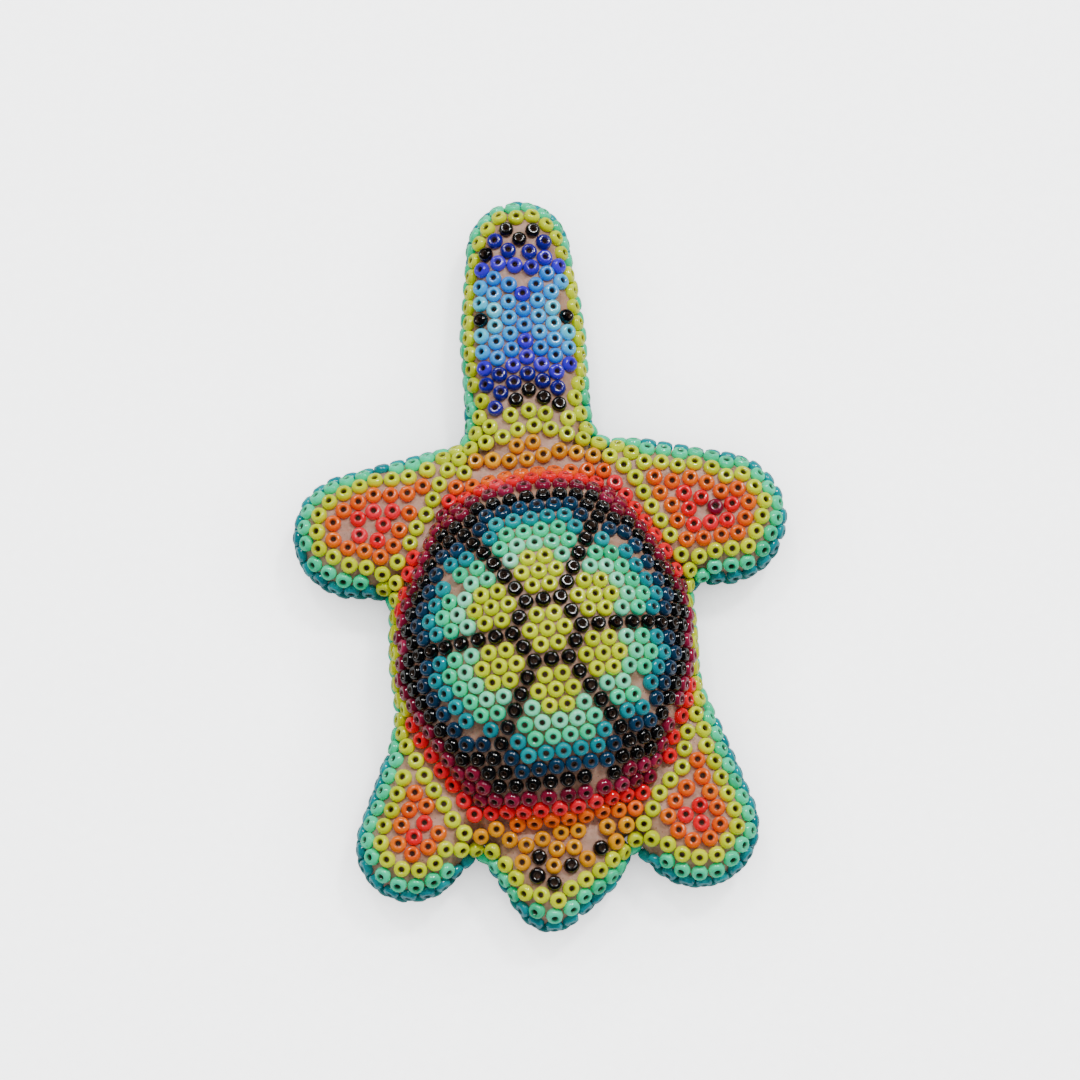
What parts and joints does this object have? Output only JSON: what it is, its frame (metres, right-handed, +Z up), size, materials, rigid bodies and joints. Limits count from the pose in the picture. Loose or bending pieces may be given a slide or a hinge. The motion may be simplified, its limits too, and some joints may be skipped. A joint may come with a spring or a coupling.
{
  "type": "beaded turtle figure",
  "caption": "Small carved wooden turtle covered in glass seed beads pressed into beeswax, with a domed flower-patterned shell.",
  "frame": {"origin": "under the middle of the body, on the plane that the belly beads rest on", "axes": "+Y to the head along the longest side, +X to the turtle's right, +Z up through the shell"},
  "size_m": [0.0601, 0.0909, 0.019],
  "materials": {
    "beeswax": "beeswax with pine resin, hand-spread, satin",
    "carved_wood": "hand-carved, sanded, unvarnished",
    "glass_amber": "opaque glass seed bead, fire-polished, glossy",
    "glass_black": "opaque glass seed bead, fire-polished, glossy",
    "glass_deep_teal": "opaque glass seed bead, fire-polished, glossy",
    "glass_indigo": "opaque glass seed bead, fire-polished, glossy",
    "glass_light_blue": "opaque glass seed bead, fire-polished, glossy",
    "glass_maroon": "opaque glass seed bead, fire-polished, glossy",
    "glass_mid_blue": "opaque glass seed bead, fire-polished, glossy",
    "glass_mint": "opaque glass seed bead, fire-polished, glossy",
    "glass_navy": "opaque glass seed bead, fire-polished, glossy",
    "glass_orange": "opaque glass seed bead, fire-polished, glossy",
    "glass_pale_mint": "opaque glass seed bead, fire-polished, glossy",
    "glass_red": "opaque glass seed bead, fire-polished, glossy",
    "glass_sky_blue": "opaque glass seed bead, fire-polished, glossy",
    "glass_teal": "opaque glass seed bead, fire-polished, glossy",
    "glass_violet": "opaque glass seed bead, fire-polished, glossy",
    "glass_yellow": "opaque glass seed bead, fire-polished, glossy"
  },
  "bodies": {
    "root": {"belly_black": "glass_black", "belly_maroon": "glass_maroon", "belly_mint": "glass_mint", "belly_navy_front": "glass_navy", "belly_navy_rear": "glass_navy", "belly_orange": "glass_orange", "belly_red": "glass_red", "belly_teal": "glass_teal", "belly_yellow": "glass_yellow", "front_left_flipper_border": "glass_yellow", "front_left_flipper_orange": "glass_orange", "front_left_flipper_red": "glass_red", "front_right_flipper_border": "glass_yellow", "front_right_flipper_maroon": "glass_maroon", "front_right_flipper_orange": "glass_orange", "front_right_flipper_red": "glass_red", "head_black": "glass_black", "head_border": "glass_yellow", "head_eyes": "glass_black", "head_indigo": "glass_indigo", "head_light_blue": "glass_light_blue", "head_mid_blue": "glass_mid_blue", "head_sky_blue": "glass_sky_blue", "head_violet": "glass_violet", "rear_left_flipper_border": "glass_yellow", "rear_left_flipper_orange": "glass_orange", "rear_left_flipper_red": "glass_red", "rear_right_flipper_border": "glass_yellow", "rear_right_flipper_orange": "glass_orange", "rear_right_flipper_red": "glass_red", "rim_deep_teal_front": "glass_deep_teal", "rim_deep_teal_rear": "glass_deep_teal", "rim_mint_front": "glass_mint", "rim_mint_rear": "glass_mint", "rim_navy_front": "glass_navy", "rim_navy_rear": "glass_navy", "rim_teal_front": "glass_teal", "rim_teal_rear": "glass_teal", "shell_amber": "glass_amber", "shell_black_lines": "glass_black", "shell_border": "glass_yellow", "shell_centre_flower": "glass_yellow", "shell_maroon": "glass_maroon", "shell_mint": "glass_mint", "shell_navy": "glass_navy", "shell_orange": "glass_orange", "shell_pale_mint": "glass_pale_mint", "shell_petal_1": "glass_yellow", "shell_petal_2": "glass_yellow", "shell_petal_3": "glass_yellow", "shell_petal_4": "glass_yellow", "shell_petal_5": "glass_yellow", "shell_petal_6": "glass_yellow", "shell_red": "glass_red", "shell_teal": "glass_teal", "tail_amber": "glass_amber", "tail_black": "glass_black", "tail_border": "glass_yellow", "wax_coat": "beeswax", "wood_core": "carved_wood"}
  },
  "joints": []
}
